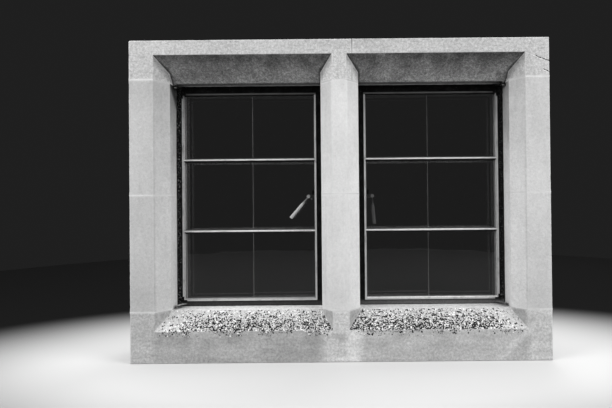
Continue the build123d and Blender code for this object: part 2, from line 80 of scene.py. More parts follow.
class Shader:
    """Writes one material or world: each call adds a node and gives its output."""

    def __init__(self, owner):
        owner.use_nodes = True
        self.material = owner
        self.tree = owner.node_tree
        self.tree.nodes.clear()
        place = self.tree.nodes.new("ShaderNodeTexCoord")
        self.place = place.outputs["Object"]
        self.normal = place.outputs["Normal"]
        self.direction = place.outputs["Generated"]

    def node(self, kind, inputs=None, output=0, **settings):
        made = self.tree.nodes.new("ShaderNode" + kind)
        for key, value in settings.items():
            setattr(made, key, value)
        for key, value in (inputs or {}).items():
            if isinstance(value, bpy.types.NodeSocket):
                self.tree.links.new(value, made.inputs[key])
            else:
                made.inputs[key].default_value = value
        return made.outputs[output]

    def split(self, vector):
        x = self.node("SeparateXYZ", {0: vector})
        return x, x.node.outputs[1], x.node.outputs[2]

    def math(self, operation, a, b=0.0):
        return self.node("Math", {0: a, 1: b}, operation=operation)

    def times(self, *values):
        result = values[0]
        for value in values[1:]:
            result = self.math("MULTIPLY", result, value)
        return result

    def plus(self, *values):
        result = values[0]
        for value in values[1:]:
            result = self.math("ADD", result, value)
        return result

    def minus(self, a, b):
        return self.math("SUBTRACT", a, b)

    def less(self, value):
        return self.minus(1.0, value)

    def absolute(self, value):
        return self.math("ABSOLUTE", value)

    def swing(self, value, amount):
        """A noise moved to lie about 0, times an amount."""
        return self.times(self.minus(value, 0.5), amount)

    def mix(self, factor, a, b):
        """Numbers a and b mixed by factor."""
        return self.node("Mix", {0: factor, 2: a, 3: b}, data_type="FLOAT")

    def tinted(self, tone, mask, gain):
        """A tone that is multiplied by gain where the mask is 1."""
        return self.times(tone, self.mix(mask, 1.0, gain))

    def span(self, value, low, high, start=0.0, end=1.0):
        """start below low, end above high, and a smooth step between them."""
        values = {0: value, 1: low, 2: high, 3: start, 4: end}
        return self.node("MapRange", values, interpolation_type="SMOOTHSTEP", clamp=True)

    def band(self, value, centre, half, soft):
        """1 within half of centre, and 0 further than soft beyond that."""
        return self.span(self.absolute(self.minus(value, centre)), half, half + soft, 1.0, 0.0)

    def by_light(self, x, left, right, blend=0.1):
        """One value in the left light and another in the right."""
        return self.span(x, -blend, blend, left, right)

    def aside(self, low, high, start=0.0, end=1.0):
        """A span over how squarely a face looks to the left or to the right."""
        return self.span(self.absolute(self.split(self.normal)[0]), low, high, start, end)

    def stretched(self, scale, offset=(0, 0, 0)):
        return self.node("Mapping", {0: self.place, "Scale": scale, "Location": offset})

    def noise(self, scale, detail=3.0, roughness=0.5, place=None):
        values = {"Vector": place or self.place, "Scale": scale, "Detail": detail, "Roughness": roughness}
        return self.node("TexNoise", values)

    def cells(self, scale, feature="F1", place=None, output=0):
        values = {"Vector": place or self.place, "Scale": scale}
        return self.node("TexVoronoi", values, output, feature=feature)

    def spots(self, scale, share, offset, radius):
        """Spots with uneven edges, one to a cell of a size of 1 / scale, in a share of the cells."""
        moved = self.stretched((1.0, 1.0, 1.0), offset)
        push = self.times(self.noise(scale * 1.7, 2.0, 0.5, place=moved), 0.0022)
        place = self.node("VectorMath", {0: moved, 1: self.node("CombineXYZ", {0: push, 1: push, 2: push})})
        away = self.cells(scale, place=place)
        chosen = self.math("LESS_THAN", self.split(away.node.outputs[1])[0], share)
        return self.times(self.span(away, radius - 0.04, radius + 0.02, 1.0, 0.0), chosen)

    def grey(self, value):
        """A neutral colour from a number or from an output."""
        if isinstance(value, bpy.types.NodeSocket):
            return self.node("CombineColor", {0: value, 1: value, 2: value})
        return (value, value, value, 1.0)

    def bump(self, height, distance, strength=1.0):
        return self.node("Bump", {"Height": height, "Distance": distance, "Strength": strength})

    def body(self, tone, roughness, normal=None, **constants):
        """A shader of one neutral tone; constants go on the shader's own sockets."""
        values = {"Base Color": self.grey(tone), "Roughness": roughness}
        if normal is not None:
            values["Normal"] = normal
        for key, value in constants.items():
            values[key.replace("_", " ")] = value
        return self.node("BsdfPrincipled", values)

    def surface(self, tone, roughness, normal=None, **constants):
        """The finished material of a body."""
        self.finish(self.body(tone, roughness, normal, **constants))
        return self.material

    def finish(self, shader, kind="Material"):
        out = self.tree.nodes.new("ShaderNodeOutput" + kind)
        self.tree.links.new(shader, out.inputs[0])


# Stone

def stone_grain(m, speckle):
    """The tone and the height of fine-grained limestone: clouds, beds, speckle, grain and pits."""
    clouds = m.noise(5.0, 5.0, 0.55)
    streaks = m.noise(14.0, 4.0, 0.6, place=m.stretched((1.0, 1.0, 0.22)))
    mottle = m.noise(60.0, 4.0, 0.6)
    grain = m.noise(420.0, 3.0, 0.65)
    specks = m.noise(105.0, 4.0, 0.75)
    pits = m.span(m.cells(150.0, place=m.stretched((1.0, 1.0, 1.3))), 0.04, 0.16)
    rare = m.span(m.noise(38.0, 2.0), 0.56, 0.66)
    pitted = m.times(m.less(pits), rare)
    tone = m.plus(
        1.0,
        m.swing(clouds, 0.36),
        m.swing(streaks, 0.26),
        m.swing(mottle, 0.26),
        m.swing(grain, 0.42),
        m.swing(specks, speckle),
        m.times(pitted, -0.26),
    )
    height = m.plus(m.times(grain, 0.5), m.times(mottle, 0.6), m.times(pitted, -1.2))
    return tone, height


def arris_wear_and_highlight(m, tone, amount):
    """The arrises, paler than the faces where the mesh has its attribute arris: rubbed, and with a painted
    highlight along them.
    """
    arris = m.node("Attribute", output=2, attribute_name="arris")
    patchy = m.span(m.noise(30.0, 3.0), 0.3, 0.6, 0.35, 1.0)
    return m.mix(m.times(arris, patchy, amount), tone, 0.80)


def stone_surface(m, tone, height, relief=0.0007):
    rough = m.span(tone, 0.1, 0.7, 0.95, 0.86)
    return m.surface(tone, rough, m.bump(height, relief, 0.55), Specular_IOR_Level=0.3)


def between_ends(m, x):
    """1 between the window's outer ends, and 0 on the ends themselves."""
    return m.span(m.absolute(x), OUTER_X - 0.06, OUTER_X - 0.03, 1.0, 0.0)


def left_head_shadow(m, x, y, z):
    """Painted shadow of the head on the left jamb's reveal, reaching further down the nearer it is to the
    steel.
    """
    line = m.minus(z, m.times(m.minus(FRAME_Y, y), 1.08))
    return m.times(m.span(x, -0.7, -0.6, 1.0, 0.0), m.span(line, LIGHT_TOP - 0.115, LIGHT_TOP - 0.075))


def jamb_stone(name, base, arris, splay_painted_light, speckle):
    """Stone of a jamb or the mullion: the splays are painted lighter and darken towards the head, and the
    reveals carry painted shade under the head.
    """
    m = Shader(bpy.data.materials.new(name))
    x, y, z = m.split(m.place)
    grain, height = stone_grain(m, speckle)
    inside = m.times(m.span(y, FACE_Y + 0.002, FACE_Y + 0.008), between_ends(m, x))
    splay = m.times(m.aside(0.3, 0.5), inside)
    reveal = m.times(m.aside(0.9, 0.97), inside)
    patches = m.noise(9.0, 4.0, 0.6)
    high = m.span(m.plus(z, m.times(patches, 0.35)), 0.80, 1.32)
    tone = m.times(grain, base, m.by_light(x, 1.0, 1.12), m.span(z, 0.98, 1.10, 1.0, 0.94))
    # Painted light: this gain makes the splays paler than the faces
    tone = m.tinted(tone, splay, splay_painted_light)
    tone = m.tinted(tone, m.times(splay, high), 0.85)
    # Painted shade under the head: the reveals are darkened towards it, with a patchy edge
    tone = m.tinted(tone, m.times(reveal, high), 0.48)
    # Painted shadow of the head, nearly black, on the left jamb's reveal
    tone = m.tinted(tone, m.times(reveal, left_head_shadow(m, x, y, z)), 0.10)
    runs = m.noise(22.0, 4.0, 0.6, place=m.stretched((1.0, 1.0, 0.12)))
    tone = m.tinted(tone, m.span(runs, 0.56, 0.72), 0.91)
    return stone_surface(m, arris_wear_and_highlight(m, tone, arris), height)


def head_underside_shade_and_grime(m, x, y):
    """The tone of the head's underside, dark as painted shade and grime: patchy, paler inwards, and darker
    still as painted shade in the mitres and on the soffit.
    """
    patches = m.span(m.noise(13.0, 5.0, 0.62), 0.36, 0.66)
    soot = m.span(m.noise(110.0, 4.0, 0.7), 0.40, 0.62)
    fine_soot = m.span(m.noise(260.0, 3.0, 0.7), 0.40, 0.56)
    inner_line = FACE_Y + HEAD_SPLAY_DEPTH
    inwards = m.times(m.span(y, FACE_Y, inner_line), m.span(x, 0.2, 0.6, 1.0, 1.35))
    grime = m.plus(0.105, m.times(inwards, 0.17), m.times(patches, 0.12))
    grime = m.times(grime, m.mix(soot, 0.72, 1.16), m.mix(fine_soot, 0.70, 1.16))
    grime = m.tinted(grime, m.span(y, inner_line - 0.001, inner_line + 0.003), 0.55)

    # The mitres are where the splay of the head meets those of the jambs and the mullion
    half = (LIGHT_OUTER - LIGHT_INNER) / 2
    from_middle = m.absolute(m.minus(m.absolute(x), LIGHT_INNER + half))
    mouth = m.span(y, FACE_Y, FACE_Y + SPLAY_DEPTH, half + SPLAY_WIDTH, half)
    mitre = m.span(m.minus(mouth, from_middle), 0.002, 0.012, 1.0, 0.0)
    return m.tinted(grime, mitre, 0.40)


def shade_under_head_splay(m, x, y, z):
    """Painted shade on the head's upright splays: 1 where they meet its own splay, fading out 60 mm further
    down.
    """
    ceiling = m.span(y, FACE_Y, FACE_Y + HEAD_SPLAY_DEPTH, BROW, LIGHT_TOP)
    return m.times(m.span(m.minus(ceiling, z), 0.0, 0.060, 1.0, 0.0), m.aside(0.3, 0.5), between_ends(m, x))


def head_stone(name):
    """Stone of the head: pale and tooled in front, dirty along its top in places, and dark underneath with
    painted shade and grime.
    """
    m = Shader(bpy.data.materials.new(name))
    x, y, z = m.split(m.place)
    grain, height = stone_grain(m, m.aside(0.9, 0.95, 1.70, 0.80))
    tooling = m.noise(160.0, 3.0, 0.6, place=m.stretched((0.12, 1.0, 1.0)))
    face = m.times(grain, 0.51, m.mix(m.span(tooling, 0.55, 0.72), 1.02, 0.80))
    # Painted shade darkens the upright splays just under the head's splay
    face = m.tinted(face, shade_under_head_splay(m, x, y, z), 0.50)
    by_mullion = m.times(m.span(m.absolute(x), 0.09, 0.13, 1.0, 0.0), m.span(z, BROW, BROW + 0.04, 1.0, 0.0))
    face = m.tinted(face, by_mullion, 1.12)
    along_top = m.times(m.span(z, TOP_Z - 0.018, TOP_Z), m.span(m.noise(26.0, 4.0, 0.6), 0.45, 0.62))
    face = m.tinted(face, along_top, 0.72)
    under = m.span(m.split(m.normal)[2], -0.15, -0.5)
    # The undersides take the dark tone of painted shade and grime
    tone = m.mix(under, arris_wear_and_highlight(m, face, 0.7), m.times(grain, head_underside_shade_and_grime(m, x, y)))
    return stone_surface(m, tone, m.plus(height, m.times(tooling, 0.5)))


def lichen_growth(m, x, z, slope, outside, patches):
    """How thickly lichen grows: least near the ledge and the slopes' outer ends. It spills over the arris."""
    along = m.absolute(x)
    down = m.span(z, SILL_FACE + 0.01, SILL_FACE + SLOPE_RISE, 1.0, 0.30)
    ends = m.span(along, LIGHT_OUTER - 0.14, LIGHT_OUTER + 0.02, 1.0, 0.12)
    below = m.span(z, SILL_FACE - 0.030, SILL_FACE, 0.0, 0.75)
    in_light = m.times(
        m.span(along, LIGHT_INNER - SPLAY_WIDTH, LIGHT_INNER - 0.03),
        m.span(along, LIGHT_OUTER + 0.01, LIGHT_OUTER + SPLAY_WIDTH, 1.0, 0.0),
    )
    spill = m.times(below, outside, m.span(patches, 0.40, 0.62), in_light)
    growth = m.plus(m.times(slope, down, ends), spill)
    return m.times(growth, m.span(patches, 0.1, 0.5, 0.8, 1.1))


def sill_stains(m, tone, x, z, front, outside, patches):
    """A tone with the stains of the sill's face, which is pale under the jambs and the mullion."""
    right = m.span(x, -0.05, 0.12)
    tone = m.tinted(tone, m.times(outside, right), 1.16)
    jamb_line = LIGHT_OUTER + SPLAY_WIDTH
    beyond = m.span(m.absolute(x), jamb_line - 0.02, jamb_line + 0.02)
    tone = m.tinted(tone, m.times(front, beyond), 1.22)
    under_mullion = m.band(x, 0.0, 0.05, 0.05)
    tone = m.tinted(tone, m.times(outside, under_mullion), 1.45)
    stain = m.times(m.band(x, -0.008, 0.012, 0.025), m.band(z, 0.065, 0.03, 0.025))
    tone = m.tinted(tone, m.times(outside, stain, m.span(patches, 0.35, 0.6)), 0.72)

    # Near the right end, a pale run slants down from the slope, with a darker patch beside it
    run = m.minus(x, m.plus(0.612, m.times(z, 0.95)))
    below = m.span(z, SILL_FACE - 0.01, SILL_FACE + 0.002, 1.0, 0.0)
    tone = m.tinted(tone, m.times(outside, m.band(run, 0.0, 0.004, 0.026), below), 1.16)
    shade = m.times(m.band(run, 0.045, 0.014, 0.02), m.band(z, 0.085, 0.028, 0.02))
    tone = m.tinted(tone, m.times(outside, shade), 0.90)

    beds = m.noise(30.0, 4.0, 0.65, place=m.stretched((0.25, 1.0, 1.0)))
    tone = m.times(tone, m.plus(1.0, m.times(front, m.swing(beds, 0.80))))
    damp = m.times(m.span(patches, 0.46, 0.66), m.span(z, 0.03, 0.09))
    return m.tinted(tone, m.times(front, damp), 0.86)


def sill_stone(name):
    """Stone of the sill: a ledge paler than the face as painted light from above, lichen on the slopes, and a
    greyer face below them.
    """
    m = Shader(bpy.data.materials.new(name))
    x, y, z = m.split(m.place)
    up = m.split(m.normal)[2]
    grain, height = stone_grain(m, m.aside(0.9, 0.95, 1.50, 0.80))
    slope = m.times(
        m.span(up, 0.3, 0.5),
        m.span(up, 0.86, 0.96, 1.0, 0.0),
        m.span(y, FACE_Y + SLOPE_DEPTH, FACE_Y + SLOPE_DEPTH + 0.004, 1.0, 0.0),
    )
    front = m.span(up, 0.1, 0.3, 1.0, 0.0)
    outside = m.times(front, m.span(y, FACE_Y + 0.004, FACE_Y + 0.008, 1.0, 0.0))
    patches = m.noise(16.0, 4.0, 0.6)

    growth = lichen_growth(m, x, z, slope, outside, patches)
    black_growth = m.times(growth, m.by_light(x, 1.0, 1.15))
    black = m.spots(165.0, m.times(black_growth, 0.52), (0.0, 0.0, 0.0), 0.60)
    white = m.spots(150.0, m.times(growth, 0.40), (7.0, 3.0, 5.0), 0.55)
    small = m.spots(300.0, m.times(black_growth, 0.36), (2.0, 9.0, 4.0), 0.58)
    black = m.math("MAXIMUM", black, small)

    # Painted light: the upward ledge is given a paler tone than the face
    ledge = m.by_light(x, 0.69, 0.59)
    bare = m.mix(slope, m.mix(front, ledge, 0.44), 0.56)
    bare = sill_stains(m, bare, x, z, front, outside, patches)
    soot = m.times(slope, m.span(m.noise(240.0, 3.0, 0.7), 0.42, 0.6), growth)
    bare = m.tinted(bare, soot, 0.72)

    tone = arris_wear_and_highlight(m, m.times(grain, bare), m.times(m.less(slope), 0.5))
    tone = m.mix(white, tone, 0.86)
    tone = m.mix(black, tone, 0.012)
    crust = m.plus(height, m.times(white, 0.9), m.times(black, 0.7))
    return stone_surface(m, tone, crust, 0.0009)


# Mortar

def bed_mortar(name, base):
    """Sandy lime mortar of the beds, duller on the splays of the upper beds."""
    m = Shader(bpy.data.materials.new(name))
    sand = m.noise(700.0, 3.0, 0.7)
    lumps = m.noise(90.0, 4.0, 0.6)
    stained = m.span(m.noise(19.0, 3.0, 0.6), 0.40, 0.60)
    tone = m.times(base, m.plus(0.80, m.times(sand, 0.26), m.times(lumps, 0.22)), m.mix(stained, 0.92, 1.0))
    upper = m.span(m.split(m.place)[2], 0.8, 1.0)
    tone = m.tinted(tone, m.times(m.aside(0.3, 0.5), upper), 0.82)
    crumbs = m.plus(m.times(sand, 0.7), lumps)
    return m.surface(tone, 0.95, m.bump(crumbs, 0.0008, 0.7), Specular_IOR_Level=0.25)


def joint_mortar(name):
    """Mortar of the head's upright joint: weathered and darkest at the top, and dark under the head with
    painted shade and grime.
    """
    m = Shader(bpy.data.materials.new(name))
    sand = m.noise(700.0, 3.0, 0.7)
    fading = m.span(m.split(m.place)[2], BROW, TOP_Z, 0.46, 0.25)
    under = m.span(m.split(m.normal)[2], -0.15, -0.5)
    # Downward faces are darkened as painted shade and grime, like the head's underside
    tone = m.tinted(m.times(fading, m.plus(0.80, m.times(sand, 0.4))), under, 0.27)
    return m.surface(tone, 0.95, m.bump(sand, 0.0008, 0.7), Specular_IOR_Level=0.25)


def pointing_mortar(name):
    """Mortar round a frame: bare and pale at the stone, and under the frame's black paint beyond that."""
    m = Shader(bpy.data.materials.new(name))
    _, depth, z = m.split(m.place)
    waver = m.swing(m.noise(60.0, 3.0, 0.6), 0.0016)
    # The paint stops short of the stone along the head, and leaves the lower half of the foot's bead bare
    short = m.span(z, LIGHT_TOP - 0.007, LIGHT_TOP - 0.005, 0.0, -0.001)
    painted = m.span(m.plus(depth, waver, short), FRAME_Y - 0.0034, FRAME_Y - 0.0026)
    painted = m.times(painted, m.span(m.plus(z, waver), LIGHT_FOOT + 0.0014, LIGHT_FOOT + 0.0020))
    behind = m.span(depth, FRAME_Y + 0.001, FRAME_Y + 0.003)
    painted = m.times(painted, m.less(behind))
    sand = m.noise(700.0, 3.0, 0.7)
    tone = m.mix(painted, m.times(0.62, m.plus(0.8, m.times(sand, 0.4))), m.times(sand, 0.02))
    return m.surface(tone, 0.92, m.bump(sand, 0.0006, 0.6), Specular_IOR_Level=0.2)


# Steel, glass and metal

def black_paint(name, dust_and_highlight_left, dust_and_highlight_right):
    """Old black paint on steel: dust where it faces up, and on the hinges a painted highlight there; a foot
    washed and painted lighter in its middle, with painted shade along its edges; and lime specks by the
    hinges.
    """
    m = Shader(bpy.data.materials.new(name))
    x, _, z = m.split(m.place)
    film = m.noise(55.0, 4.0, 0.6)
    flakes = m.noise(210.0, 4.0, 0.65)
    tone = m.plus(0.002, m.times(m.span(film, 0.4, 0.75), 0.010))
    # Upward faces are paler: dust, and on the hinges, where the share is high, a painted highlight
    dust_and_highlight = m.times(m.span(m.split(m.normal)[2], 0.2, 0.9), m.span(film, 0.2, 0.6, 0.4, 1.0))
    tone = m.mix(dust_and_highlight, tone, m.by_light(x, dust_and_highlight_left, dust_and_highlight_right))
    # Along the foot a band is paler, as washed paint and as painted light; it stops short of the flange's
    # edges, which are left dark as painted shade
    foot_start = m.span(z, LIGHT_FOOT + 0.002, LIGHT_FOOT + 0.006)
    foot_end = m.span(z, LIGHT_FOOT + 0.012, LIGHT_FOOT + 0.028, 1.0, 0.0)
    worn = m.times(m.span(x, -0.1, 0.25, 0.35, 1.0), m.span(flakes, 0.3, 0.6, 0.6, 1.0))
    tone = m.mix(m.times(foot_start, foot_end, worn), tone, 0.11)
    hinge_side = m.span(m.absolute(x), LIGHT_OUTER - 0.030, LIGHT_OUTER - 0.012)
    lime = m.mix(hinge_side, 0.10, m.by_light(x, 0.55, 0.20))
    specks = m.times(m.span(m.plus(flakes, m.times(hinge_side, 0.05)), 0.62, 0.67), lime)
    tone = m.mix(specks, tone, 0.42)
    rough = m.span(film, 0.3, 0.7, 0.55, 0.80)
    height = m.plus(m.times(film, 0.6), m.times(flakes, 0.5), m.times(specks, 0.6))
    return m.surface(tone, rough, m.bump(height, 0.0005, 0.5), Specular_IOR_Level=0.1)


def pale_paint(name, base):
    """Chalky pale grey paint on the casements: brush marks, runs, rust freckles and dirt in patches."""
    m = Shader(bpy.data.materials.new(name))
    z = m.split(m.place)[2]
    chalk = m.noise(40.0, 5.0, 0.6)
    brush = m.noise(260.0, 2.0, 0.6, place=m.stretched((1.0, 1.0, 0.10)))
    fine = m.noise(520.0, 3.0, 0.7)
    dirt = m.span(m.noise(18.0, 5.0, 0.65), 0.48, 0.70)
    freckles = m.span(m.plus(m.noise(300.0, 3.0, 0.6), m.times(dirt, 0.05)), 0.64, 0.70)
    tone = m.times(base, m.plus(0.74, m.times(chalk, 0.34), m.times(fine, 0.16), m.times(brush, 0.08)))
    tone = m.tinted(tone, dirt, 0.62)
    # Painted shade of the head: the top rail is painted nearly black, and the stiles darken towards it
    tone = m.times(tone, m.span(z, CASEMENT_TOP - 0.20, CASEMENT_TOP - 0.02, 1.0, 0.72))
    tone = m.times(tone, m.span(z, CASEMENT_TOP - 0.010, CASEMENT_TOP - 0.007, 1.0, 0.20))
    tone = m.mix(freckles, tone, 0.06)
    rough = m.span(chalk, 0.3, 0.7, 0.5, 0.72)
    height = m.plus(m.times(brush, 0.4), m.times(chalk, 0.5), m.times(freckles, -0.5))
    return m.surface(tone, rough, m.bump(height, 0.0004, 0.5), Specular_IOR_Level=0.4)


def putty_surface(name):
    """Hard putty, toned as painted light and shade: pale on the slopes that face up, between on those that
    face the sides, nearly black on the others, and darker deep in by the glass.
    """
    m = Shader(bpy.data.materials.new(name))
    x, y, z = m.split(m.place)
    skin = m.noise(70.0, 4.0, 0.6)
    crazed = m.span(m.cells(160.0, "DISTANCE_TO_EDGE"), 0.02, 0.09)
    up = m.span(m.split(m.normal)[2], 0.1, 0.3)
    # Painted light on the slopes that face up, fading to painted shade deeper in towards the glass
    on_rail = m.span(y, FRAME_Y + 0.007, FRAME_Y + 0.013, m.by_light(x, 0.42, 0.85), 0.08)
    on_bar = m.span(y, FRAME_Y + 0.002, FRAME_Y + 0.006, 0.85, 0.04)
    above_rail = m.span(z, CASEMENT_FOOT + 0.012, CASEMENT_FOOT + 0.016)
    lit_slope_tone = m.mix(above_rail, on_rail, on_bar)
    flank = m.span(y, FRAME_Y + 0.008, FRAME_Y + 0.013, 0.40, 0.10)
    tone = m.mix(m.aside(0.1, 0.3), m.mix(up, 0.012, lit_slope_tone), flank)
    # Painted shade of the head darkens the putty towards the top rail
    tone = m.times(tone, m.span(z, CASEMENT_TOP - 0.20, CASEMENT_TOP - 0.02, 1.0, 0.5))
    tone = m.times(tone, m.plus(0.6, m.times(skin, 0.8)), m.mix(crazed, 0.6, 1.0))
    height = m.plus(skin, m.times(crazed, 0.5))
    return m.surface(tone, 0.8, m.bump(height, 0.0004, 0.6), Specular_IOR_Level=0.3)


def weathered_steel(name, base, rust):
    """Galvanised steel gone dull, with rust in its pits."""
    m = Shader(bpy.data.materials.new(name))
    spangle = m.split(m.cells(260.0, output=1))[0]
    blotch = m.noise(120.0, 4.0, 0.65)
    pits = m.span(blotch, 0.50, 0.66)
    tone = m.times(base, m.plus(0.78, m.times(spangle, 0.30), m.times(blotch, 0.15)))
    tone = m.mix(m.times(pits, rust), tone, 0.09)
    height = m.plus(spangle, m.times(pits, -1.0))
    return m.surface(tone, m.mix(pits, 0.42, 0.8), m.bump(height, 0.0003, 0.4), Metallic=0.35)


def away_from_pivot(m):
    """How far a place is from the pivot of a handle, in X and Z."""
    x, _, z = m.split(m.place)
    across = m.minus(m.absolute(x), PIVOT.x)
    above = m.minus(z, PIVOT.z)
    return m.math("SQRT", m.plus(m.times(across, across), m.times(above, above)))


def satin_metal(name, left, right, metallic, grain, neck=1.0):
    """Satin metal with handling marks, of one tone in each light. A handle's is duller near its pivot."""
    m = Shader(bpy.data.materials.new(name))
    base = m.by_light(m.split(m.place)[0], left, right, 0.05)
    base = m.times(base, m.span(away_from_pivot(m), 0.024, 0.044, neck, 1.0))
    brushed = m.noise(900.0, 2.0, 0.5, place=m.stretched(grain))
    scuffs = m.span(m.noise(85.0, 5.0, 0.7), 0.55, 0.72)
    tone = m.times(base, m.plus(0.88, m.times(brushed, 0.16), m.times(scuffs, -0.16)))
    rough = m.plus(m.span(brushed, 0.3, 0.7, 0.26, 0.38), m.times(scuffs, 0.15))
    return m.surface(tone, rough, m.bump(brushed, 0.00015, 0.35), Metallic=metallic)


def worn_plate(name):
    """The handle's plate: white paint left on the round boss, and dull steel on the arm to the stile."""
    m = Shader(bpy.data.materials.new(name))
    boss = m.span(away_from_pivot(m), 0.0060, 0.0085, 1.0, 0.0)
    pale = m.by_light(m.split(m.place)[0], 0.50, 0.20, 0.05)
    marks = m.noise(120.0, 4.0, 0.7)
    tone = m.times(m.mix(boss, 0.035, pale), m.plus(0.75, m.times(marks, 0.5)))
    return m.surface(tone, m.span(marks, 0.3, 0.7, 0.35, 0.6), m.bump(marks, 0.0002, 0.4))


def clear_glass(m, tone, roughness, normal=None):
    return m.body(tone, roughness, normal, IOR=1.5, Transmission_Weight=1.0)


def lit_through(m, body, share):
    """The finished material of a pane. Lamps and the light from around shine through it by a share."""
    rays = m.node("LightPath").node.outputs
    lighting = m.math("MAXIMUM", rays["Is Shadow Ray"], rays["Is Diffuse Ray"])
    through = m.node("BsdfTransparent", {0: m.grey(share)})
    m.finish(m.node("MixShader", {0: lighting, 1: body, 2: through}))
    return m.material


def outer_glass(name, tint, grime, waviness):
    """Slightly wavy clear glass with faint smears and spots of grime."""
    m = Shader(bpy.data.materials.new(name))
    wave = m.noise(11.0, 1.0, 0.4)
    smears = m.span(m.noise(30.0, 5.0, 0.7), 0.5, 0.8)
    spots = m.span(m.noise(330.0, 2.0, 0.5), 0.66, 0.72)
    dull = m.plus(m.times(smears, grime), m.times(spots, grime, 1.6))
    tone = m.minus(tint, m.times(dull, 0.5))
    pane = clear_glass(m, tone, m.times(dull, 0.5), m.bump(wave, waviness, 0.4))
    return lit_through(m, pane, 0.86)


def inner_glass(name, edge_tone):
    """A sliding pane: clear, with ground edges."""
    m = Shader(bpy.data.materials.new(name))
    dull = m.times(m.span(m.noise(24.0, 5.0, 0.7), 0.5, 0.8), 0.06)
    pane = clear_glass(m, m.minus(0.93, dull), m.times(dull, 0.4))
    ground = m.body(edge_tone, 0.6)
    return lit_through(m, m.node("MixShader", {0: m.aside(0.4, 0.6), 1: pane, 2: ground}), 0.9)


# How the brushing of metal is stretched
ALONG_Z = (1.0, 1.0, 0.04)
ALONG_X_AND_Z = (0.02, 1.0, 0.02)

MATERIALS = {
    "jamb": jamb_stone("limestone_jamb", base=0.53, arris=0.45, splay_painted_light=1.22, speckle=0.55),
    "mullion": jamb_stone("limestone_mullion", base=0.69, arris=0.9, splay_painted_light=1.02, speckle=0.25),
    "head": head_stone("limestone_head"),
    "sill": sill_stone("limestone_sill"),
    "mortar": bed_mortar("lime_mortar", base=0.70),
    "joint": joint_mortar("joint_mortar"),
    "pointing": pointing_mortar("frame_pointing"),
    "black_paint": black_paint("black_paint", dust_and_highlight_left=0.20, dust_and_highlight_right=0.20),
    # The hinges' upward faces are painted pale, as dust and as a painted highlight
    "hinge_paint": black_paint("hinge_paint", dust_and_highlight_left=0.90, dust_and_highlight_right=0.45),
    "pale_paint": pale_paint("pale_paint", base=0.50),
    # The bars take the casement's paint made paler, as painted light
    "bar_paint_lit": pale_paint("bar_paint_lit", base=0.72),
    "putty": putty_surface("glazing_putty"),
    "hinge_steel": weathered_steel("hinge_steel", base=0.30, rust=0.8),
    "zinc_steel": weathered_steel("zinc_steel", base=0.42, rust=0.4),
    # The same metal in both levers: the left is painted bright as a painted highlight, and the right dark as
    # painted shade
    "handle_metal": satin_metal("handle_metal", left=0.95, right=0.13, metallic=0, grain=ALONG_Z, neck=0.35),
    "worn_plate": worn_plate("worn_plate"),
    "track_metal": satin_metal("track_metal", left=0.52, right=0.52, metallic=0.7, grain=ALONG_X_AND_Z),
    "window_glass": outer_glass("window_glass", tint=0.90, grime=0.10, waviness=0.0006),
    "inner_glass": inner_glass("inner_glass", edge_tone=0.55),
    "inner_glass_back": inner_glass("inner_glass_back", edge_tone=0.04),
}


def paint(obj, material):
    obj.data.materials.clear()
    obj.data.materials.append(MATERIALS[material])


def new_object(name, mesh):
    obj = bpy.data.objects.new(name, mesh)
    bpy.context.scene.collection.objects.link(obj)
    return obj


def new_mesh(name, bm):
    """A mesh from an edited one, which is freed."""
    mesh = bpy.data.meshes.new(name)
    bm.to_mesh(mesh)
    bm.free()
    return mesh


# Dressed stones

SAME_POINT = 1e-6
ON_JOINT = 2e-4
FLAT_ANGLE = math.radians(0.5)
ARRIS_ANGLE = math.radians(20)
GRID = 0.006
ARRIS_ROUND = 0.0020
JOINT_ROUND = 0.0003
CORNER_ROUND = 0.0080
FACE_WAVER = 0.00022
ARRIS_WAVER = 0.00035
CHIP_DEPTH = 0.0085
LICHEN_RELIEF = 0.00055
BED_HEIGHTS = [
    height
    for node in NODES
    if node.startswith(("jamb_", "mullion_"))
    for low, high in [[corner.z for corner in box(node)]]
    for height in (low, high, low - MORTAR, high + MORTAR)
]
JOINT_X = (box("head_left")[1].x, box("head_right")[0].x)


def whole_faces(node):
    """A mesh like a node's, with its seams closed and its flat faces in one piece."""
    bm = bmesh.new()
    bm.from_mesh(NODES[node].data)
    bmesh.ops.remove_doubles(bm, verts=bm.verts, dist=SAME_POINT)
    bmesh.ops.dissolve_limit(bm, angle_limit=FLAT_ANGLE, verts=bm.verts, edges=bm.edges)
    return bm


def at_a_joint(edge):
    """Whether an edge lies along a mortar joint, where the arris is kept sharp."""
    ends = [v.co for v in edge.verts]
    if any(all(abs(p.z - z) < ON_JOINT for p in ends) for z in BED_HEIGHTS):
        return True
    return any(all(abs(p.x - x) < ON_JOINT for p in ends) for x in JOINT_X)


def arris_round(edge):
    """How far an arris is worn back. The head's upper left corner has lost the most."""
    near = 0.001
    if all(v.co.x < near - OUTER_X and v.co.z > TOP_Z - near for v in edge.verts):
        return CORNER_ROUND
    return JOINT_ROUND if at_a_joint(edge) else ARRIS_ROUND


def apply_modifiers(obj):
    """Gives an object the mesh that its modifiers show, and takes them off."""
    shown = obj.evaluated_get(bpy.context.evaluated_depsgraph_get())
    mesh = bpy.data.meshes.new_from_object(shown)
    obj.modifiers.clear()
    obj.data = mesh


def round_arrises(bm, name):
    """A new object of the mesh with its arrises rounded."""
    weight = bm.edges.layers.float.new("bevel_weight_edge")
    for edge in bm.edges:
        if edge.is_manifold and edge.calc_face_angle(0.0) > ARRIS_ANGLE:
            edge[weight] = arris_round(edge) / CORNER_ROUND
    obj = new_object(name, new_mesh(name, bm))
    bevel = obj.modifiers.new("arrises", "BEVEL")
    bevel.width = CORNER_ROUND
    bevel.segments = 3
    bevel.limit_method = "WEIGHT"
    bevel.use_clamp_overlap = True
    apply_modifiers(obj)
    return obj


